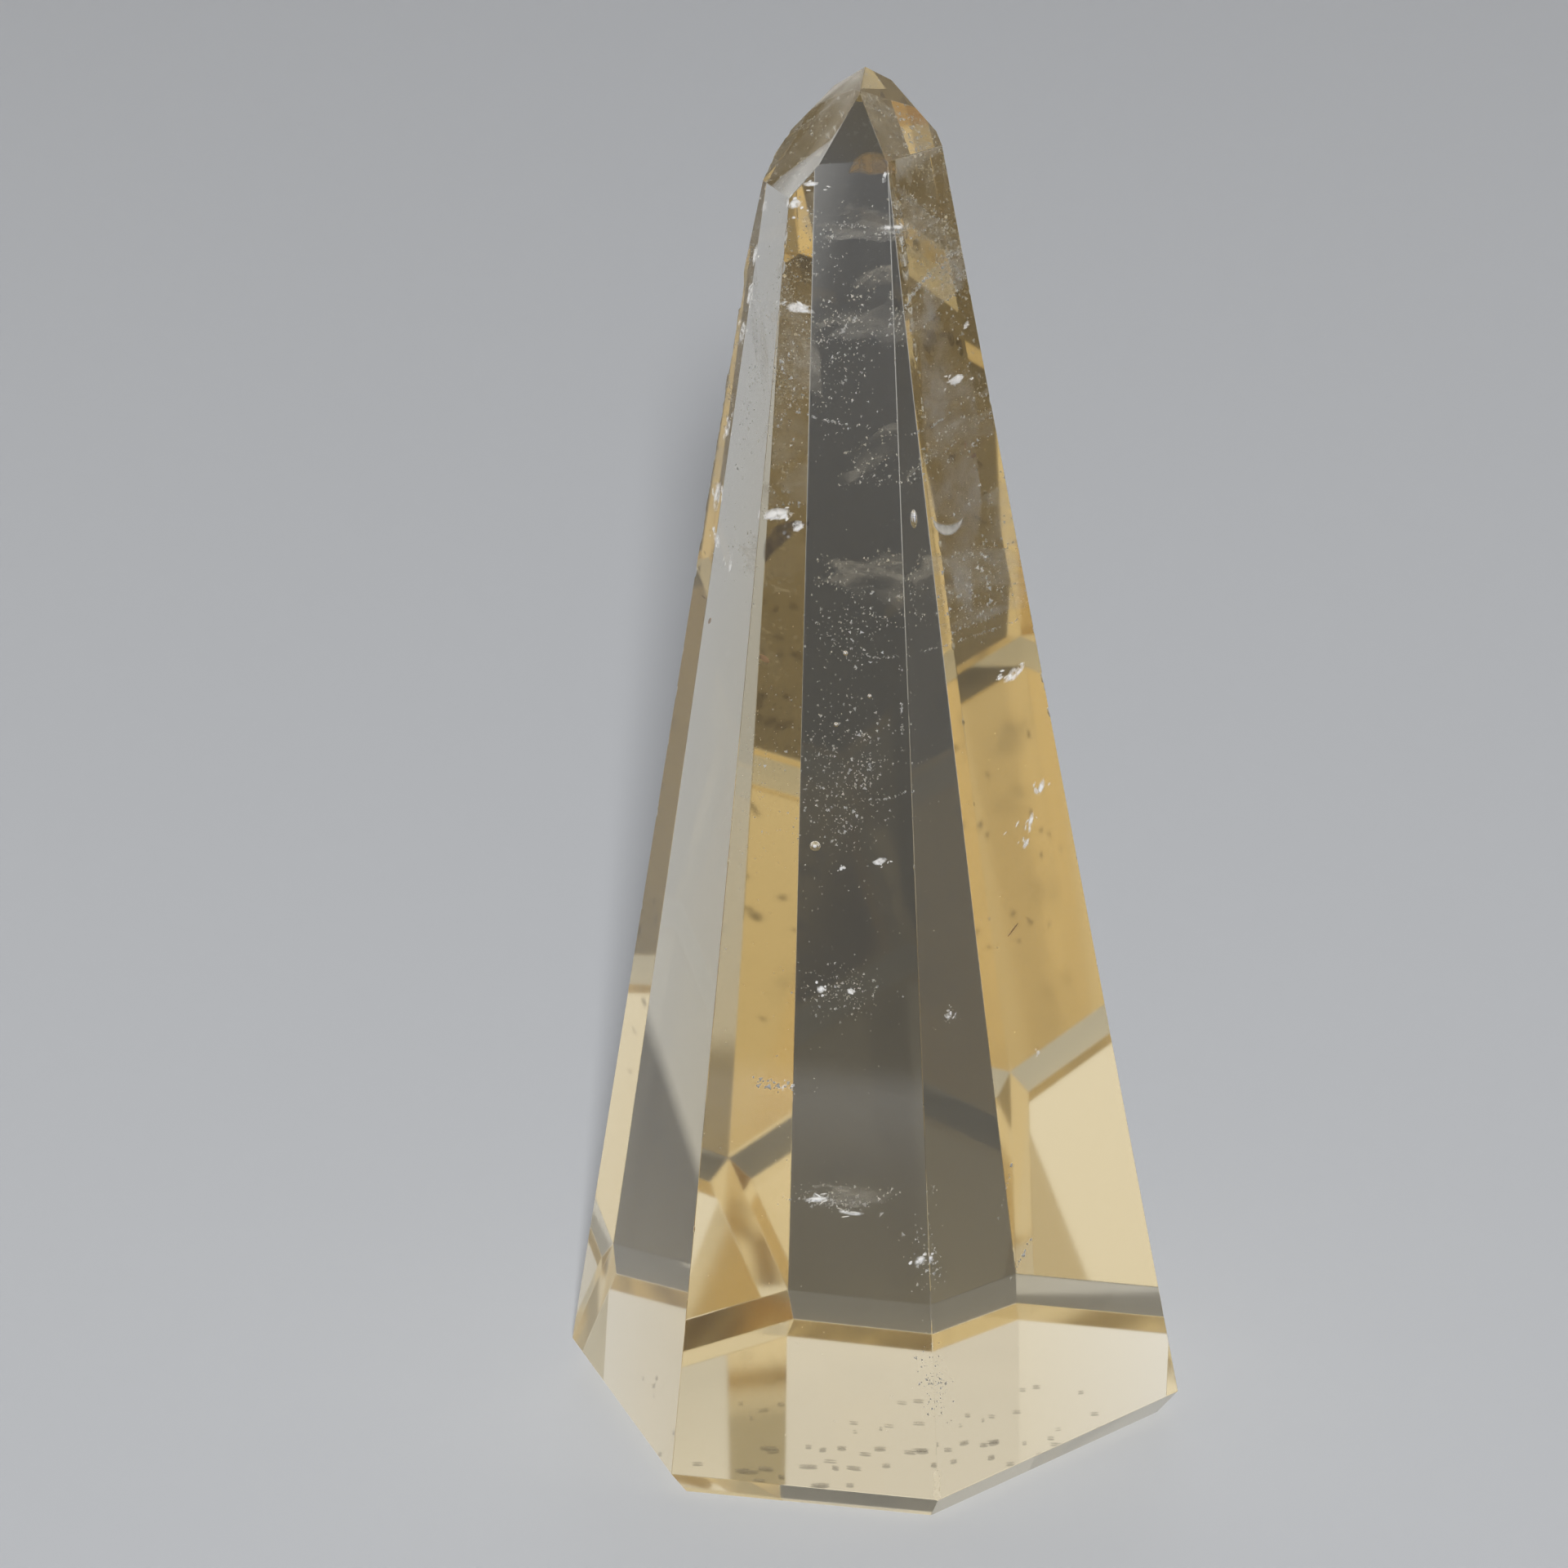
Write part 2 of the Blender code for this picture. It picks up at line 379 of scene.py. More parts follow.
FEATHER_BODY = 0.45  # the body attribute from which a feathered flake is full
FILM_BODY = 0.8  # and a film
FILM_FAINTEST = 0.35  # how much of a film its fine patches leave
FILM_DARKEST = 0.8  # the share of its colour that its darkest patches have
FILM_ROUGHNESS = 0.45
FLOOR_ROUGHNESS = 0.55
POLISH_REACH = 0.75  # the share of the height from which the polish is at its finest

FLOOR_RADIUS = 3.0
FLOOR_SIDES = 64

# The softbox in front: where it stands, where it points, and its colour.
KEY_PLACE = (0.03, -2.2, 0.8)
KEY_AIM = (0.0, 0.03, 0.0)
KEY_COLOUR = (1.0, 0.98, 0.95)

# A grey flag behind the stone on the left, as a way into the sky, with the cosines of its outer and
# inner edge and the share of the light that it lets by.
FLAG_WAY = (-0.55, 0.81, 0.20)
FLAG_EDGES = (0.978, 0.992)
FLAG_SHARE = 0.2

# The sky's colours, from 0 at the horizon to 1 overhead.
SKY_STOPS = [
    (0.0, (0.36, 0.38, 0.42, 1.0)),
    (0.06, (0.36, 0.38, 0.42, 1.0)),
    (0.15, (0.95, 0.96, 1.0, 1.0)),
    (0.31, (1.05, 1.05, 1.05, 1.0)),
    (0.40, (0.72, 0.71, 0.70, 1.0)),
    (0.74, (0.95, 0.95, 0.95, 1.0)),
    (0.84, (0.95, 0.95, 0.95, 1.0)),
    (0.95, (0.74, 0.67, 0.50, 1.0)),
]

# The camera's lens, its sensor and the point that it looks at are in mm, and what it sees, from near
# to far, is in metres.
LENS = 150.0
SENSOR = 36.0
CAMERA_AIM = (-4.6, 0.0, 33.3)
CAMERA_CLIP = (0.01, 20.0)

BOUNCES = {
    "max_bounces": 32,
    "glossy_bounces": 24,
    "transmission_bounces": 24,
    "transparent_max_bounces": 24,
}

# Attributes: worn is 1 on faces that are ground matt. body is 1 inside a thin film and 0 at its rim.
WORN = "worn"
BODY = "body"


# ---------------------------------------------------------------- materials


class Shade:
    """Wraps a shader socket, so that sums and products are written as Python expressions."""

    def __init__(self, tree, socket):
        self.tree = tree
        self.socket = socket

    def _math(self, operation, first, second):
        node = self.tree.nodes.new("ShaderNodeMath")
        node.operation = operation
        for place, value in zip(node.inputs, (first, second)):
            plug(self.tree, place, value)
        return Shade(self.tree, node.outputs[0])

    def __add__(self, other):
        return self._math("ADD", self, other)

    def __mul__(self, other):
        return self._math("MULTIPLY", self, other)


def plug(tree, place, value):
    """Links a socket, or sets its own value."""
    if isinstance(value, Shade):
        tree.links.new(value.socket, place)
    else:
        place.default_value = value


class Finish:
    """A material's node tree, emptied, with one method that makes any node."""

    def __init__(self, data):
        data.use_nodes = True
        self.tree = data.node_tree
        self.tree.nodes.clear()

    def node(self, kind, settings=None, output=0, **values):
        """Settings are set first, then the sockets named by the values."""
        made = self.tree.nodes.new(kind)
        for name, value in (settings or {}).items():
            if name == "stops":
                set_stops(made.color_ramp, value)
            else:
                setattr(made, name, value)
        for name, value in values.items():
            plug(self.tree, made.inputs[name.replace("_", " ")], value)
        return Shade(self.tree, made.outputs[output]) if made.outputs else None

    def place(self):
        """The object's own coordinates."""
        return self.node("ShaderNodeTexCoord", output="Object")

    def grain(self, scale, detail=2.0):
        """Noise of 0 to 1 on the object's own coordinates. Scale is in patches per metre."""
        return self.node("ShaderNodeTexNoise", Vector=self.place(), Scale=scale, Detail=detail)

    def tones(self, patches, low, high, dark, pale):
        """Two colours in patches. Low and high are the noise at which each is full."""
        stops = [(low, (*dark, 1.0)), (high, (*pale, 1.0))]
        return self.node("ShaderNodeValToRGB", {"stops": stops}, Fac=self.grain(patches))

    def body(self, full):
        """0 at the rim of a thin film, and 1 from where its body attribute reaches full."""
        share = self.node("ShaderNodeAttribute", {"attribute_name": BODY}, output="Fac")
        return self.between(share, 0.0, full)

    def between(self, value, low, high, start=0.0, end=1.0):
        """Start where the value is low, end where it is high, and a steady change between them."""
        return self.node(
            "ShaderNodeMapRange", Value=value, From_Min=low, From_Max=high, To_Min=start, To_Max=end
        )


def set_stops(ramp, stops):
    """Gives a colour ramp its places and colours."""
    while len(ramp.elements) > 1:
        ramp.elements.remove(ramp.elements[-1])
    for number, (place, colour) in enumerate(stops):
        stop = ramp.elements[0] if number == 0 else ramp.elements.new(place)
        stop.position = place
        stop.color = colour


def clear_citrine(look):
    """Clear quartz: a pale smoky yellow that deepens with the way through. The polish is finest
    near the tip, and the worn edges are ground matt in patches."""
    material = bpy.data.materials.new("citrine_clear")
    finish = Finish(material)
    height = finish.node("ShaderNodeSeparateXYZ", output="Z", Vector=finish.place())
    fine = POLISH_REACH * STONE_HEIGHT
    polish = finish.between(height, 0.0, fine, look.base_roughness, look.tip_roughness)
    worn = finish.node("ShaderNodeAttribute", {"attribute_name": WORN}, output="Fac")
    patches = finish.between(finish.grain(WEAR_PATCHES), *WEAR_SPAN, 0.0, look.edge_roughness)
    surface = finish.node(
        "ShaderNodeBsdfPrincipled",
        Base_Color=(1.0, 1.0, 1.0, 1.0),
        Roughness=polish + worn * patches,
        IOR=look.refraction,
        Transmission_Weight=1.0,
    )
    depth = finish.node(
        "ShaderNodeVolumeAbsorption", Color=(*look.tint, 1.0), Density=look.tint_density
    )
    finish.node("ShaderNodeOutputMaterial", Surface=surface, Volume=depth)
    return material


def inclusion(name):
    """The material, by name, of what lies in the stone."""
    return two_toned(name, **INCLUSION_FINISHES[name])


def two_toned(name, dark, pale, patches, roughness, metallic=0.0, feathered=False, **more):
    """Two tones in fine patches. A feathered material fades out towards its rim, unevenly."""
    material = bpy.data.materials.new(name)
    finish = Finish(material)
    if feathered:
        rim = finish.body(FEATHER_BODY)
        fray = finish.between(finish.grain(FEATHER_PATCHES, detail=3.0), *FEATHER_SPAN)
        more["Alpha"] = rim * fray
    tone = finish.tones(patches, *TONE_SPAN, dark, pale)
    surface = finish.node(
        "ShaderNodeBsdfPrincipled", Base_Color=tone, Roughness=roughness, Metallic=metallic, **more
    )
    finish.node("ShaderNodeOutputMaterial", Surface=surface)
    return material


def film(name):
    """The material, by name, of a healed fracture."""
    return patchy_film(name, **FILM_FINISHES[name])


def patchy_film(name, colour, alpha, gaps, metallic=0.0):
    """Patches that show, with gaps between them, and a faint rim."""
    material = bpy.data.materials.new(name)
    finish = Finish(material)
    patches = finish.between(finish.grain(FILM_BROAD_PATCHES, detail=4.0), *gaps)
    broad = patches * finish.body(FILM_BODY)
    grain = finish.grain(FILM_FINE_PATCHES, detail=3.0)
    fine = finish.between(grain, *FILM_FINE_SPAN, FILM_FAINTEST, 1.0)
    darker = [FILM_DARKEST * part for part in colour]
    tone = finish.tones(FILM_TONE_PATCHES, *FILM_TONE_SPAN, darker, colour)
    surface = finish.node(
        "ShaderNodeBsdfPrincipled", Base_Color=tone, Roughness=FILM_ROUGHNESS, Metallic=metallic,
        Alpha=broad * fine * alpha,
    )
    finish.node("ShaderNodeOutputMaterial", Surface=surface)
    return material


def floor_paper(stage):
    """Pale matt paper."""
    material = bpy.data.materials.new("floor_paper")
    finish = Finish(material)
    surface = finish.node(
        "ShaderNodeBsdfPrincipled", Base_Color=(*stage.floor_colour, 1.0), Roughness=FLOOR_ROUGHNESS
    )
    finish.node("ShaderNodeOutputMaterial", Surface=surface)
    return material


# ---------------------------------------------------------------- shapes


def stone_shape():
    """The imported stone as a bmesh, with its triangles merged into facets."""
    shape = bmesh.new()
    shape.from_mesh(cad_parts[STONE_NODE].data)
    bmesh.ops.remove_doubles(shape, verts=shape.verts, dist=MERGE)
    bmesh.ops.dissolve_limit(shape, angle_limit=FLAT, verts=shape.verts, edges=shape.edges)
    return shape


def stone_facets():
    """A point on each facet, and the way that the facet faces."""
    shape = stone_shape()
    facets = [(face.calc_center_median(), face.normal.copy()) for face in shape.faces]
    shape.free()
    return facets


FACETS = stone_facets()


def long_edges():
    """The steep edges of the stone: for each, its lower end, its upper end and its way out."""
    shape = stone_shape()
    found = []
    for edge in shape.edges:
        low, high = sorted((vertex.co.copy() for vertex in edge.verts), key=lambda point: point.z)
        if high.z - low.z > STEEP * edge.calc_length():
            outward = sum((face.normal for face in edge.link_faces), Vector()).normalized()
            found.append((low, high, outward))
    shape.free()
    return found


LONG_EDGES = long_edges()


def inside(point, skin=SKIN):
    """True if a point is under the stone's surface by more than the skin, in mm."""
    return all((point - place).dot(facing) < -skin * MM for place, facing in FACETS)


def trim_to_stone(shape):
    """Cuts away what sticks out of the stone, or comes nearer to its surface than the skin."""
    for place, facing in FACETS:
        everything = shape.verts[:] + shape.edges[:] + shape.faces[:]
        bmesh.ops.bisect_plane(
            shape, geom=everything, plane_co=place - facing * SKIN * MM, plane_no=facing, clear_outer=True
        )


def as_mesh(name, shape):
    """Turns a bmesh into a mesh, and frees it."""
    mesh = bpy.data.meshes.new(name)
    shape.to_mesh(mesh)
    shape.free()
    return mesh


def absorb(shape, mesh):
    """Adds a mesh to a bmesh, and removes the mesh."""
    shape.from_mesh(mesh)
    bpy.data.meshes.remove(mesh)


def new_object(name, shape):
    """Turns a bmesh into an object in the scene."""
    made = bpy.data.objects.new(name, as_mesh(name, shape))
    bpy.context.scene.collection.objects.link(made)
    return made


def new_piece(name, shape, material):
    """Turns a bmesh into an object that rides on the stone."""
    piece = new_object(name, shape)
    piece.data.materials.append(material)
    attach(piece, STONE_BODY)
    return piece


def add_copies(shape, seed, places):
    """Adds a copy of a small closed mesh at each matrix."""
    for place in places:
        copy = seed.copy()
        copy.transform(place)
        absorb(shape, copy)


def kept_inside(seed, places):
    """Leaves out the copies that would stick out of the stone."""
    for place in places:
        if all(inside(place @ vertex.co, 0.0) for vertex in seed.vertices):
            yield place


def seed_mesh(maker, **sizes):
    """A small closed mesh of unit size, to be copied, from one of the bmesh operators."""
    shape = bmesh.new()
    maker(shape, **sizes)
    bmesh.ops.recalc_face_normals(shape, faces=shape.faces)
    return as_mesh("seed", shape)


def speck_seed():
    """A pointed speck of four faces, because there are thousands of them."""
    return seed_mesh(bmesh.ops.create_cone, cap_ends=True, segments=3, radius1=0.6, radius2=0.0, depth=0.9)


def ball_seed(subdivisions=2):
    """A ball, which is scaled into a flake, a fleck, a grain or a bubble."""
    return seed_mesh(bmesh.ops.create_icosphere, subdivisions=subdivisions, radius=0.5)


def ragged_seed(rng, ragged):
    """A ball with uneven points. Its body attribute falls from 1 in the middle to 0 at the rim."""
    mesh = ball_seed()
    body = mesh.attributes.new(BODY, "FLOAT", "POINT")
    for vertex, value in zip(mesh.vertices, body.data):
        value.value = max(1.0 - 2.0 * vertex.co.xy.length, 0.0)
        vertex.co *= rng.uniform(*ragged)
    return mesh


def turned(place, facing, sizes, tilt=0.0):
    """A matrix that puts a unit shape at a place, its Z along facing, scaled by sizes."""
    turn = Vector(facing).to_track_quat("Z", "Y").to_matrix().to_4x4()
    roll = Matrix.Rotation(radians(tilt), 4, "Z")
    return Matrix.Translation(place) @ turn @ roll @ Matrix.Diagonal((*sizes, 1.0))


def tumbled(rng, place, size):
    """A matrix for one speck: any way round, and not quite regular."""
    turn = Euler([rng.uniform(0.0, tau) for _ in range(3)]).to_matrix().to_4x4()
    wide = [size * rng.uniform(*SPECK_WIDTHS) for _ in range(2)]
    sizes = (*wide, size * rng.uniform(*SPECK_DEPTHS), 1.0)
    return Matrix.Translation(place) @ turn @ Matrix.Diagonal(sizes)


def scatter(rng, spread):
    """A stray step in any direction. Spread is about how far it goes."""
    return Vector([rng.gauss(0.0, spread) for _ in range(3)])


def drawn_size(rng, smallest, span, rarity):
    """A size that is small for most. The rarer the large ones are, the higher the rarity is."""
    return smallest + span * rng.random() ** rarity


def cloud_places(rng, cloud):
    """Specks that thin out from the middle of their cloud."""
    middle, across, up, out = spot_frame(cloud.spot)
    for _ in range(cloud.count):
        aside, deep, high = (rng.gauss(0.0, spread) for spread in cloud.spread)
        place = middle + (across * aside + out * deep + up * high) * MM
        size = drawn_size(rng, cloud.smallest, cloud.largest - cloud.smallest, 4)
        if inside(place):
            yield tumbled(rng, place, size * MM)


def thread_places(rng, thread):
    """Specks along a bent line in short runs, closer together in its middle."""
    start, _, up, _ = spot_frame(thread.start)
    end = spot_frame(thread.end)[0]
    middle = start.lerp(end, 0.5) - up * 2.0 * thread.sag * MM
    for _ in range(thread.count):
        share = min(max(rng.gauss(0.5, THREAD_CROWDING), 0.0), 1.0)
        if noise.noise(start * THREAD_NOISE + Vector((share * THREAD_RUNS, 0.0, 0.0))) < DRIFT_GAP:
            continue
        along = start.lerp(middle, share).lerp(middle.lerp(end, share), share)
        place = along + scatter(rng, THREAD_STRAY) * MM
        if inside(place):
            yield tumbled(rng, place, thread.size * drawn_size(rng, *THREAD_SHARES, 2) * MM)


def glint_places(rng, glint):
    """One flake, and slivers strewn round it in its own plane."""
    place, across, up, _ = spot_frame(glint.spot)
    facing = VIEW_WAY[glint.spot.facet]
    sizes = (glint.width * MM, glint.height * MM, FLAKE_THICKNESS * MM)
    yield turned(place, facing, sizes, glint.tilt)
    for _ in range(SLIVERS):
        stray = across * rng.gauss(0.0, 0.45 * glint.width) + up * rng.gauss(0.0, 0.55 * glint.height)
        share = rng.uniform(*SLIVER_SHARES)
        small = (glint.width * share * MM, glint.height * share * MM, FLAKE_THICKNESS * MM)
        spot = place + stray * MM
        if inside(spot):
            yield turned(spot, facing, small, glint.tilt + rng.gauss(0.0, SLIVER_TURN))


def veil_sheet(veil, number):
    """An open rippled sheet with a ragged outline, cut to the stone."""
    sheet = bmesh.new()
    bmesh.ops.create_grid(sheet, x_segments=VEIL_CELLS, y_segments=VEIL_CELLS, size=1.0)
    start = Vector(VEIL_NOISE) * (number + 1)
    ragged = []
    for vertex in sheet.verts:
        flat = vertex.co.copy()
        broad = noise.noise(flat * BROAD_RIPPLES + start)
        vertex.co.z = broad + FINE_RIPPLE_SHARE * noise.noise(flat * FINE_RIPPLES + start)
        if flat.length + RAGGED_SHARE * noise.noise(flat * RAGGED_BAYS - start) > VEIL_REACH:
            ragged.append(vertex)
    bmesh.ops.delete(sheet, geom=ragged, context="VERTS")
    sizes = (veil.reach[0] * MM, veil.reach[1] * MM, veil.ripple * MM)
    bmesh.ops.transform(
        sheet, matrix=turned(Vector(veil.centre) * MM, veil.facing, sizes), verts=sheet.verts
    )
    trim_to_stone(sheet)
    drop_pinches(sheet)
    mark_body(sheet)
    return sheet


def mark_body(sheet):
    """Sets the body attribute of a sheet: 0 on its rim, and rising to 1 over three cells."""
    body = sheet.verts.layers.float.new(BODY)
    for vertex in sheet.verts:
        vertex[body] = float(not vertex.is_boundary)
    for _ in range(2):
        means = [
            sum(edge.other_vert(vertex)[body] for edge in vertex.link_edges) / len(vertex.link_edges)
            for vertex in sheet.verts
        ]
        for vertex, mean in zip(sheet.verts, means):
            vertex[body] = 0.0 if vertex.is_boundary else mean


def drop_pinches(sheet):
    """Takes out the points where a sheet hangs together by one corner, and what is loose."""
    while True:
        pinched = [vertex for vertex in sheet.verts if not vertex.is_manifold or not vertex.link_faces]
        if not pinched:
            return
        bmesh.ops.delete(sheet, geom=pinched, context="VERTS")


def veil_places(rng, sheet, veil):
    """Specks on a veil, in drifts, and more of them along its rim."""
    rim = [vertex for vertex in sheet.verts if vertex.is_boundary]
    field = sheet.verts[:]
    for _ in range(veil.specks):
        on_rim = rng.random() < RIM_SHARE
        place = rng.choice(rim if on_rim else field).co.copy()
        drift = noise.noise(place * VEIL_DRIFTS)
        place += scatter(rng, RIM_STRAY if on_rim else VEIL_STRAY) * MM
        if (on_rim or drift > DRIFT_GAP) and inside(place, SPECK_SKIN):
            yield tumbled(rng, place, drawn_size(rng, *VEIL_SPECKS, 4) * MM)


def grain_places(rng, field):
    """Flat grains just over the base, most of them longer from side to side."""
    left, front = field.near
    right, back = field.far
    found = 0
    while found < field.count:
        place = Vector((rng.uniform(left, right), rng.uniform(front, back), GRAIN_HEIGHT)) * MM
        if not inside(place, GRAIN_SKIN):
            continue
        length, width = (field.share * rng.uniform(*span) for span in (GRAIN_LENGTHS, GRAIN_WIDTHS))
        turn = Matrix.Rotation(rng.gauss(0.0, GRAIN_TURN), 4, "Z")
        sizes = (length * MM, width * MM, rng.uniform(*GRAIN_THICKNESSES) * MM, 1.0)
        found += 1
        yield Matrix.Translation(place) @ turn @ Matrix.Diagonal(sizes)


def nick_places(rng, wear):
    """Where one stretch of an edge is chipped. A chip is shallow and runs along the edge, so the
    cutter's middle lies outside it."""
    for _ in range(wear.nicks):
        height = rng.uniform(wear.low, wear.high) * STONE_HEIGHT
        edge = nearest_edge(wear.bearing, height)
        if edge is None:
            continue
        low, high, outward = edge
        share = (height - low.z) / (high.z - low.z)
        size = wear.size * rng.uniform(*NICK_SHARES)
        depth = size * rng.uniform(*NICK_DEPTHS)
        place = low.lerp(high, share) + outward * (0.5 * size - depth) * MM
        along = (high - low).normalized() + scatter(rng, NICK_LEAN)
        sizes = (size * MM, size * MM, size * rng.uniform(*NICK_LENGTHS) * MM)
        yield turned(place, along, sizes) @ Matrix.Rotation(rng.uniform(0.0, tau), 4, "Z")


def nearest_edge(bearing, height):
    """The long edge nearest a bearing that passes a height. None if there is none."""
    passing = [edge for edge in LONG_EDGES if edge[0].z < height < edge[1].z]

    def apart(edge):
        middle = (edge[0] + edge[1]) / 2
        return abs((degrees(atan2(middle.y, middle.x)) - bearing + 180.0) % 360.0 - 180.0)

    return min(passing, key=apart, default=None)


def on_edge(bearing, height):
    """The point of a long edge at a height. Over the edge's end, it goes straight on."""
    low, high, _ = nearest_edge(bearing, 0.5 * STONE_HEIGHT)
    return low.lerp(high, (height - low.z) / (high.z - low.z))


def spot_frame(spot):
    """Where a spot is, and the way across its facet, up it and out of it."""
    left, right = (on_edge(bearing, spot.height * MM) for bearing in FACET_EDGES[spot.facet])
    across = (right - left).normalized()
    lower = on_edge(FACET_EDGES[spot.facet][0], spot.height * MM - FACET_STEP * MM)
    out = across.cross(left - lower).normalized()
    up = out.cross(across).normalized()
    return left.lerp(right, spot.across) - out * spot.depth * MM, across, up, out


def soft_stone(look):
    """The stone with softened edges, and the ones near its tip marked as worn."""
    shape = stone_shape()
    worn = shape.faces.layers.float.new(WORN)
    softened = bmesh.ops.bevel(
        shape, geom=shape.edges[:], offset=look.edge_softness, offset_type="WIDTH", segments=2,
        profile=0.5, affect="EDGES", material=-1, clamp_overlap=True,
    )
    for face in softened["faces"]:
        face[worn] = float(face.calc_center_median().z > CAP_START * STONE_HEIGHT)
    bmesh.ops.recalc_face_normals(shape, faces=shape.faces)
    return new_object("polished_stone", shape)


def nick_cutter():
    """What is cut out of the edges. The cut faces are marked as worn."""
    rng = random.Random(RANDOM_SEEDS["nicks"])
    nicks = bmesh.new()
    for wear in WEAR:
        seed = ragged_seed(rng, RAGGED_NICK)
        add_copies(nicks, seed, nick_places(rng, wear))
        bpy.data.meshes.remove(seed)
    layer = nicks.faces.layers.float.new(WORN)
    for face in nicks.faces:
        face[layer] = 1.0
    return new_object("nick_cutter", nicks)


def worn_stone(look):
    """The stone with softened edges, and small nicks cut out of them."""
    stone = soft_stone(look)
    cutter = nick_cutter()
    cut = stone.modifiers.new("nicks", "BOOLEAN")
    cut.operation = "DIFFERENCE"
    cut.object = cutter
    cut.use_self = True
    graph = bpy.context.evaluated_depsgraph_get()
    mesh = bpy.data.meshes.new_from_object(stone.evaluated_get(graph))
    stone.modifiers.clear()
    stone.data = mesh
    mesh.name = "polished_stone"
    bpy.data.objects.remove(cutter)
    return stone


def bright_flakes():
    """The small open fractures, each ragged in its own way."""
    rng = random.Random(RANDOM_SEEDS["fractures"])
    shape = bmesh.new()
    for glint in GLINTS:
        ragged = ragged_seed(rng, RAGGED_FLAKE)
        add_copies(shape, ragged, kept_inside(ragged, glint_places(rng, glint)))
        bpy.data.meshes.remove(ragged)
    return shape


def fleck_shapes():
    """The rusty flecks and the scratch, which lie across the way to the front."""
    shape = bmesh.new()
    places = []
    for fleck in FLECKS:
        middle = spot_frame(fleck.spot)[0]
        sizes = (fleck.width * MM, fleck.height * MM, FLAKE_THICKNESS * MM)
        places.append(turned(middle, VIEW_WAY[fleck.spot.facet], sizes, fleck.tilt))
    add_copies(shape, ball_seed(), places)
    return shape


def bubble_shapes():
    """The bubbles, which are smooth and upright."""
    shape = bmesh.new()
    places = []
    for bubble in BUBBLES:
        sizes = (bubble.width * MM, bubble.width * MM, bubble.height * MM, 1.0)
        places.append(Matrix.Translation(spot_frame(bubble.spot)[0]) @ Matrix.Diagonal(sizes))
    add_copies(shape, ball_seed(3), places)
    for face in shape.faces:
        face.smooth = True
    return shape


def sickle_shape(sickle):
    """A flat bow, widest in its middle: a lens section turned part of the way round."""
    shape = bmesh.new()
    made = bmesh.ops.create_circle(shape, cap_ends=True, radius=0.5, segments=8)
    bmesh.ops.transform(
        shape, matrix=Matrix.Diagonal((sickle.width, SICKLE_THICKNESS, 1.0, 1.0)), verts=made["verts"]
    )
    bmesh.ops.rotate(shape, verts=shape.verts, cent=(0, 0, 0), matrix=Matrix.Rotation(tau / 4, 3, "X"))
    bmesh.ops.translate(shape, verts=shape.verts, vec=(sickle.radius, 0, 0))
    section = shape.faces[:] + shape.edges[:] + shape.verts[:]
    bmesh.ops.spin(
        shape, geom=section, cent=(0, 0, 0), axis=(0, 0, 1),
        angle=radians(sickle.sweep), steps=SICKLE_STEPS, use_merge=False, use_duplicate=False,
    )
    body = shape.verts.layers.float.new(BODY)
    for vertex in shape.verts:
        share = (degrees(atan2(vertex.co.y, vertex.co.x)) % 360.0) / sickle.sweep
        ring = Vector((vertex.co.x, vertex.co.y, 0.0))
        middle = ring.normalized() * sickle.radius
        fat = SICKLE_TIP + (1.0 - SICKLE_TIP) * max(sin(share * tau / 2), 0.0)
        offset = vertex.co - middle
        vertex[body] = 2.0 * fat * max(1.0 - offset.length / (0.5 * sickle.width), 0.0)
        vertex.co = middle + offset * fat
    bmesh.ops.recalc_face_normals(shape, faces=shape.faces)
    spun = Matrix.Rotation(radians(sickle.turn), 4, "Z")
    place = turned(spot_frame(sickle.spot)[0], VIEW_WAY[sickle.spot.facet], (MM, MM, MM)) @ spun
    bmesh.ops.transform(shape, matrix=place, verts=shape.verts)
    return shape


def softbox(name, place, aim, size, power, colour):
    """An area light that the glass doesn't see, so that the stone's shadow stays a shadow."""
    light = bpy.data.lights.new(name, "AREA")
    light.shape = "SQUARE"
    light.size = size
    light.energy = power
    light.color = colour
    lamp = bpy.data.objects.new(name, light)
    bpy.context.scene.collection.objects.link(lamp)
    lamp.location = place
    lamp.rotation_mode = "QUATERNION"
    lamp.rotation_quaternion = (Vector(aim) - Vector(place)).to_track_quat("-Z", "Y")
    lamp.visible_transmission = False
    lamp.visible_glossy = False


# ---------------------------------------------------------------- settings


class CitrineLook(bpy.types.PropertyGroup):
    refraction: FloatProperty(name="Refraction", description="Index of refraction of quartz", default=1.544)
    tint: FloatVectorProperty(
        name="Tint", description="Colour that the stone lets through", size=3, subtype="COLOR",
        default=(0.750, 0.575, 0.09),
    )
    tint_density: FloatProperty(name="Tint density", description="Absorption per metre", default=20.0)
    edge_softness: FloatProperty(
        name="Edge softness", description="Width of the polished-over edges", default=0.045 * MM,
        unit="LENGTH", precision=5,
    )
    base_roughness: FloatProperty(name="Base polish", description="Roughness at the base", default=0.055)
    tip_roughness: FloatProperty(name="Tip polish", description="Roughness at the tip", default=0.008)
    edge_roughness: FloatProperty(name="Edge wear", description="Roughness of worn edges", default=0.5)


class StageLook(bpy.types.PropertyGroup):
    floor_colour: FloatVectorProperty(
        name="Floor", description="Colour of the floor", size=3, subtype="COLOR",
        default=(0.62, 0.65, 0.70),
    )
    key_power: FloatProperty(
        name="Key light", description="Power of the front softbox", default=108.0, unit="POWER"
    )
    key_size: FloatProperty(
        name="Key size", description="Side of the front softbox", default=0.16, unit="LENGTH"
    )
    camera_distance: FloatProperty(
        name="Camera distance", description="From the camera to the point it looks at", default=0.3302,
        unit="LENGTH",
    )
    camera_elevation: FloatProperty(
        name="Camera elevation", description="Angle that the camera looks down at", default=radians(18.155),
        unit="ROTATION",
    )


# ---------------------------------------------------------------- operators


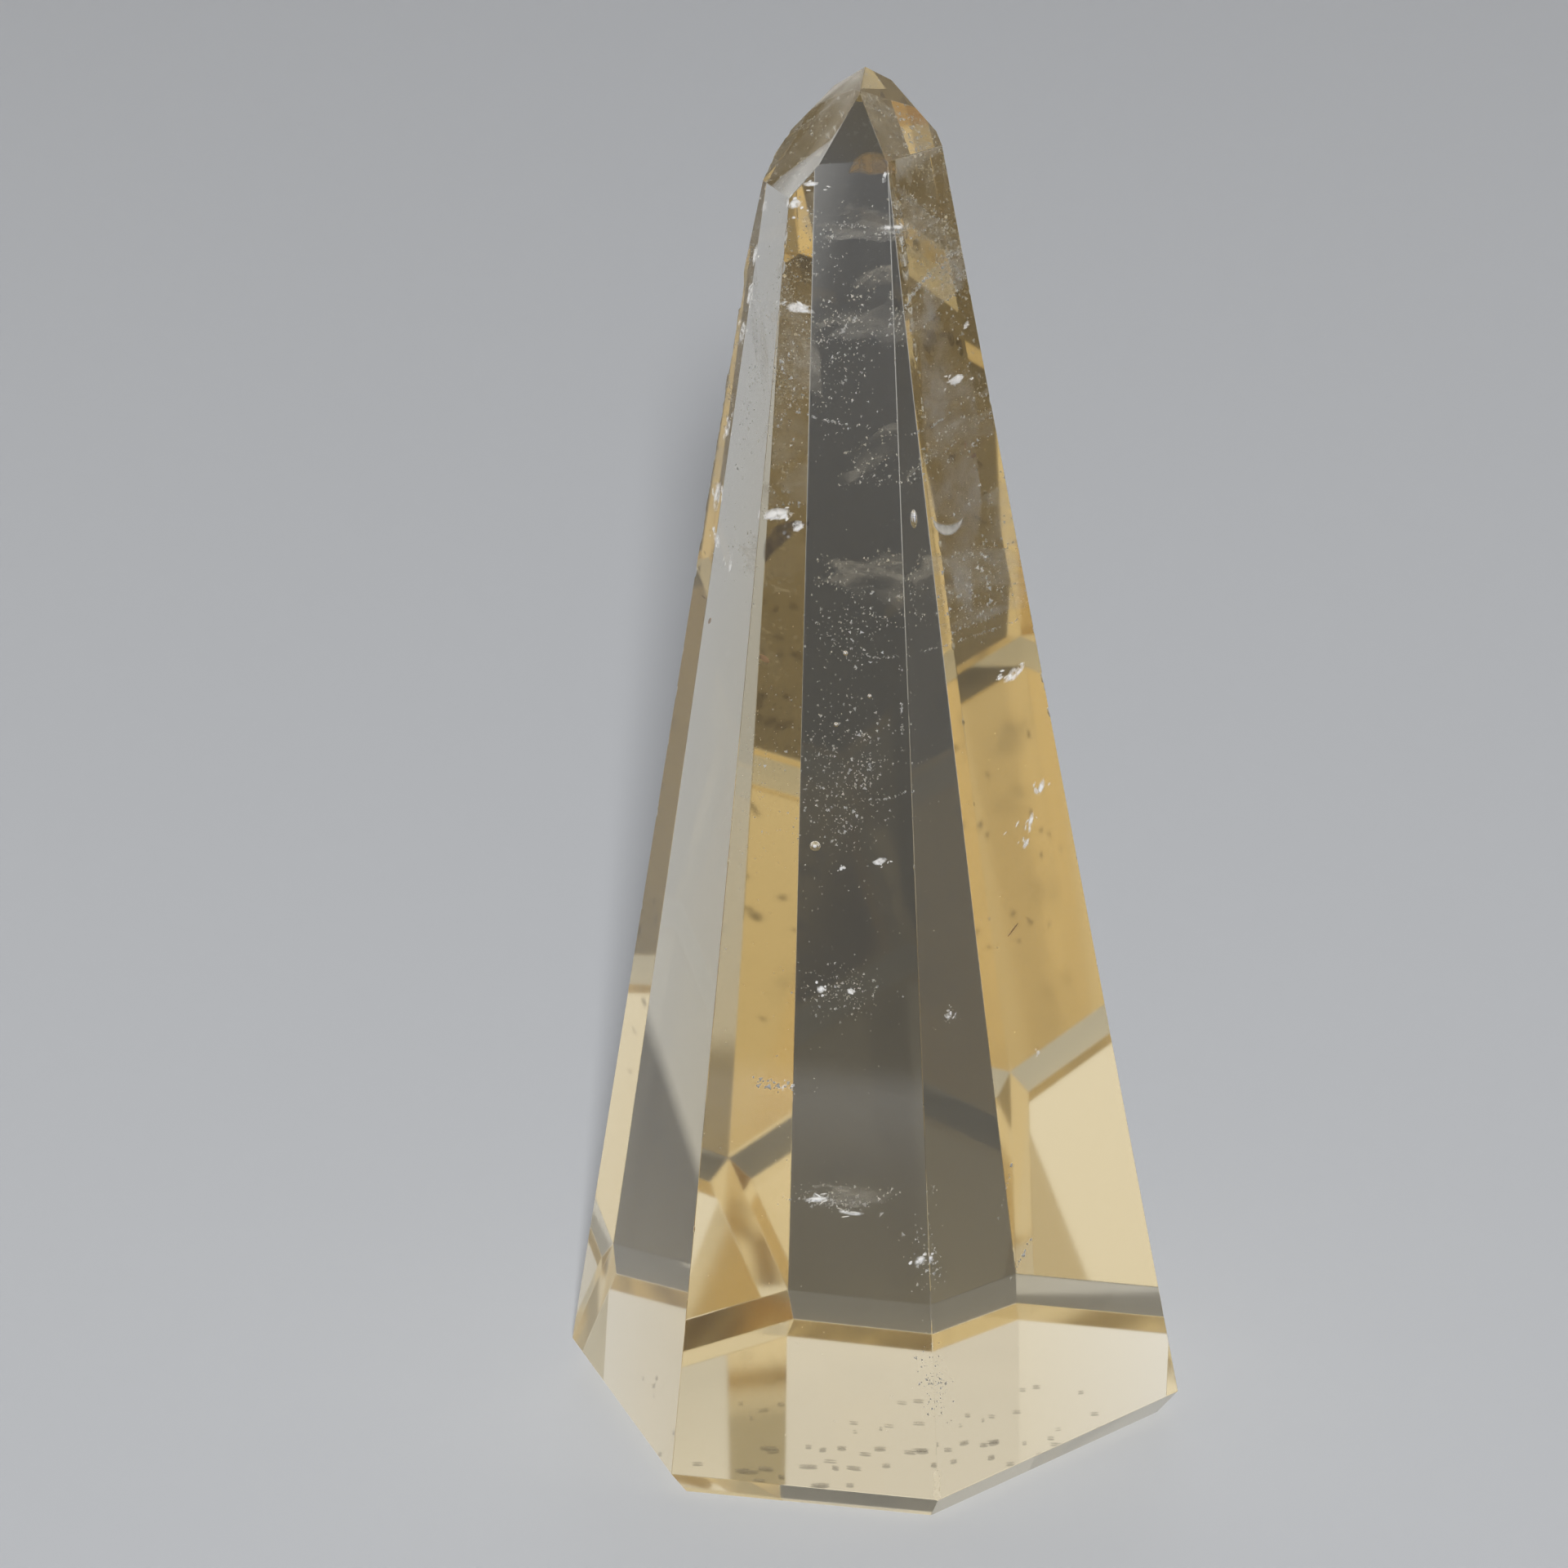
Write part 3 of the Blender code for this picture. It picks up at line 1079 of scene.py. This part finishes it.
class CITRINE_OT_stone(bpy.types.Operator):
    """Dress the stone in clear citrine, with soft and slightly chipped edges"""

    bl_idname = "citrine.stone"
    bl_label = "Polished stone"

    def execute(self, context):
        look = context.scene.citrine_look
        stone = worn_stone(look)
        stone.data.materials.clear()
        stone.data.materials.append(clear_citrine(look))
        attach(stone, STONE_BODY)
        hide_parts(STONE_NODE)
        return {"FINISHED"}


class CITRINE_OT_specks(bpy.types.Operator):
    """Scatter the clouds and rows of fine specks"""

    bl_idname = "citrine.specks"
    bl_label = "Speck clouds"

    def execute(self, context):
        rng = random.Random(RANDOM_SEEDS["specks"])
        shape = bmesh.new()
        seed = speck_seed()
        for cloud in CLOUDS:
            add_copies(shape, seed, cloud_places(rng, cloud))
        for thread in THREADS:
            add_copies(shape, seed, thread_places(rng, thread))
        new_piece("speck_clouds", shape, inclusion("fine_specks"))
        return {"FINISHED"}


class CITRINE_OT_veils(bpy.types.Operator):
    """Lay the healed fractures and their specks"""

    bl_idname = "citrine.veils"
    bl_label = "Healed veils"

    def execute(self, context):
        rng = random.Random(RANDOM_SEEDS["veils"])
        seed = speck_seed()
        dust = bmesh.new()
        films = bmesh.new()
        for number, veil in enumerate(VEILS):
            sheet = veil_sheet(veil, number)
            add_copies(dust, seed, kept_inside(seed, veil_places(rng, sheet, veil)))
            bmesh.ops.solidify(sheet, geom=sheet.faces[:], thickness=FILM_THICKNESS * MM)
            bmesh.ops.recalc_face_normals(sheet, faces=sheet.faces)
            absorb(films, as_mesh("veil", sheet))
        new_piece("veil_films", films, film("healed_film"))
        new_piece("veil_dust", dust, inclusion("veil_specks"))
        return {"FINISHED"}


class CITRINE_OT_fractures(bpy.types.Operator):
    """Place the small open fractures that shine, the rusty flecks and the bubbles"""

    bl_idname = "citrine.fractures"
    bl_label = "Bright fractures"

    def execute(self, context):
        new_piece("bright_fractures", bright_flakes(), inclusion("bright_fracture"))
        new_piece("rusty_flecks", fleck_shapes(), inclusion("rusty_fleck"))
        new_piece("bubbles", bubble_shapes(), inclusion("bubble_wall"))
        return {"FINISHED"}


class CITRINE_OT_sickles(bpy.types.Operator):
    """Place the curved fractures, the dark one coloured with painted shade"""

    bl_idname = "citrine.sickles"
    bl_label = "Curved fractures"

    def execute(self, context):
        for sickle in SICKLES:
            new_piece(sickle.name, sickle_shape(sickle), film(sickle.film))
        return {"FINISHED"}


class CITRINE_OT_grains(bpy.types.Operator):
    """Strew the dark grains in the base"""

    bl_idname = "citrine.grains"
    bl_label = "Base grains"

    def execute(self, context):
        rng = random.Random(RANDOM_SEEDS["grains"])
        shape = bmesh.new()
        seed = ball_seed()
        for field in GRAIN_FIELDS:
            add_copies(shape, seed, kept_inside(seed, grain_places(rng, field)))
        new_piece("base_grains", shape, inclusion("dark_grain"))
        return {"FINISHED"}


class CITRINE_OT_stage(bpy.types.Operator):
    """Set the floor, the lights and the camera"""

    bl_idname = "citrine.stage"
    bl_label = "Stage"

    def execute(self, context):
        stage = context.scene.citrine_stage
        shape = bmesh.new()
        below = Matrix.Translation((0.0, 0.0, -AIR_GAP))
        bmesh.ops.create_circle(
            shape, cap_ends=True, radius=FLOOR_RADIUS, segments=FLOOR_SIDES, matrix=below
        )
        floor = new_object("floor", shape)
        floor.data.materials.append(floor_paper(stage))
        floor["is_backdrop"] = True
        softbox("key", KEY_PLACE, KEY_AIM, stage.key_size, stage.key_power, KEY_COLOUR)
        sky(context.scene)
        camera(context.scene, stage)
        render_depth(context.scene)
        return {"FINISHED"}


def sky(scene):
    """A pale studio all round, brightest in a band above the horizon. It lights the stone, and the
    floor only through the stone."""
    world = bpy.data.worlds.new("studio")
    scene.world = world
    finish = Finish(world)
    direction = finish.node("ShaderNodeTexCoord", output="Generated")
    way = [finish.node("ShaderNodeSeparateXYZ", output=axis, Vector=direction) for axis in "XYZ"]
    shade = finish.node("ShaderNodeValToRGB", {"stops": SKY_STOPS}, Fac=way[2])
    toward = way[0] * FLAG_WAY[0] + way[1] * FLAG_WAY[1] + way[2] * FLAG_WAY[2]
    strength = finish.between(toward, *FLAG_EDGES, 1.0, FLAG_SHARE)
    light = finish.node("ShaderNodeBackground", Color=shade, Strength=strength)
    finish.node("ShaderNodeOutputWorld", Surface=light)
    world.cycles_visibility.diffuse = False


def camera(scene, stage):
    """Looks down at the stone from the front."""
    data = bpy.data.cameras.new("camera")
    data.lens = LENS
    data.sensor_width = SENSOR
    data.clip_start, data.clip_end = CAMERA_CLIP
    eye = bpy.data.objects.new("camera", data)
    scene.collection.objects.link(eye)
    aim = Vector(CAMERA_AIM) * MM
    up = stage.camera_elevation
    back = Vector((0.0, -cos(up), sin(up)))
    eye.location = aim + back * stage.camera_distance
    eye.rotation_mode = "QUATERNION"
    eye.rotation_quaternion = (-back).to_track_quat("-Z", "Y")
    scene.camera = eye


def render_depth(scene):
    """A clear stone needs many inner reflections before its light gets out."""
    cycles = scene.cycles
    cycles.sampling_pattern = "TABULATED_SOBOL"
    for name, count in BOUNCES.items():
        setattr(cycles, name, count)
    cycles.caustics_refractive = True
    cycles.caustics_reflective = False
    scene.view_settings.view_transform = "Standard"


class CITRINE_PT_panel(bpy.types.Panel):
    """Lists the pieces of the stone and its stage"""

    bl_idname = "CITRINE_PT_panel"
    bl_label = "Citrine point"
    bl_space_type = "VIEW_3D"
    bl_region_type = "UI"
    bl_category = "Citrine"

    def draw(self, context):
        for step in STEPS:
            self.layout.operator(step.bl_idname)


STEPS = (
    CITRINE_OT_stone,
    CITRINE_OT_specks,
    CITRINE_OT_veils,
    CITRINE_OT_fractures,
    CITRINE_OT_sickles,
    CITRINE_OT_grains,
    CITRINE_OT_stage,
)
CLASSES = (CitrineLook, StageLook, *STEPS, CITRINE_PT_panel)


def register():
    for kind in CLASSES:
        bpy.utils.register_class(kind)
    bpy.types.Scene.citrine_look = PointerProperty(type=CitrineLook)
    bpy.types.Scene.citrine_stage = PointerProperty(type=StageLook)


def unregister():
    del bpy.types.Scene.citrine_stage
    del bpy.types.Scene.citrine_look
    for kind in reversed(CLASSES):
        bpy.utils.unregister_class(kind)


def main():
    register()
    for step in STEPS:
        group, name = step.bl_idname.split(".")
        getattr(getattr(bpy.ops, group), name)()
    boxes = {"cad": CAD_BOX, "visual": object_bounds()}
    {name: [list(corner) for corner in box] for name, box in boxes.items()}


if __name__ == "__main__":
    main()
